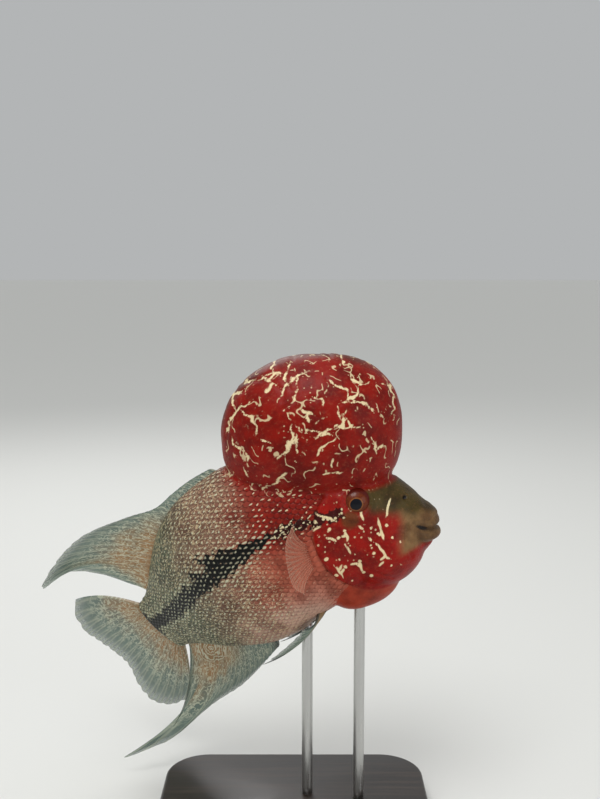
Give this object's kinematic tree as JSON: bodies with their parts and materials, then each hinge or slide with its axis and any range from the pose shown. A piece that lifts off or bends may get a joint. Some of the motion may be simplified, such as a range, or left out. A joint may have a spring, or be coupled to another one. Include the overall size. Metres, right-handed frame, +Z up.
{
  "type": "flowerhorn cichlid model on a display stand",
  "caption": "Life-size still model of a male flowerhorn cichlid with a large nuchal hump and trailing fins, on a flat base with upright rods.",
  "frame": {"origin": "middle of the underside of the stand's base", "axes": "+Z up, +X towards the fish's snout along the base, +Y away from the fish's right flank"},
  "size_m": [0.2338, 0.1445, 0.2616],
  "materials": {
    "crimson_skin": "satin",
    "head_skin": "satin",
    "body_skin": "satin",
    "lip_skin": "satin",
    "fin_membrane": "satin",
    "eye": "gloss",
    "stand_wood": "satin",
    "stand_steel": "satin"
  },
  "bodies": {
    "root": {"head": "head_skin", "lower_jaw": "lip_skin", "gill_cover_right": "head_skin", "gill_cover_left": "head_skin", "eye_right": "eye", "eye_left": "eye", "nuchal_hump": "crimson_skin", "breast": "head_skin", "trunk": "body_skin", "tail": "body_skin", "dorsal_fin": "fin_membrane", "anal_fin": "fin_membrane", "caudal_fin": "fin_membrane", "pectoral_fin_right": "fin_membrane", "pectoral_fin_left": "fin_membrane", "pelvic_fin_right": "fin_membrane", "pelvic_fin_left": "fin_membrane", "stand_base": "stand_wood", "stand_rod_1": "stand_steel", "stand_rod_2": "stand_steel"}
  },
  "joints": []
}
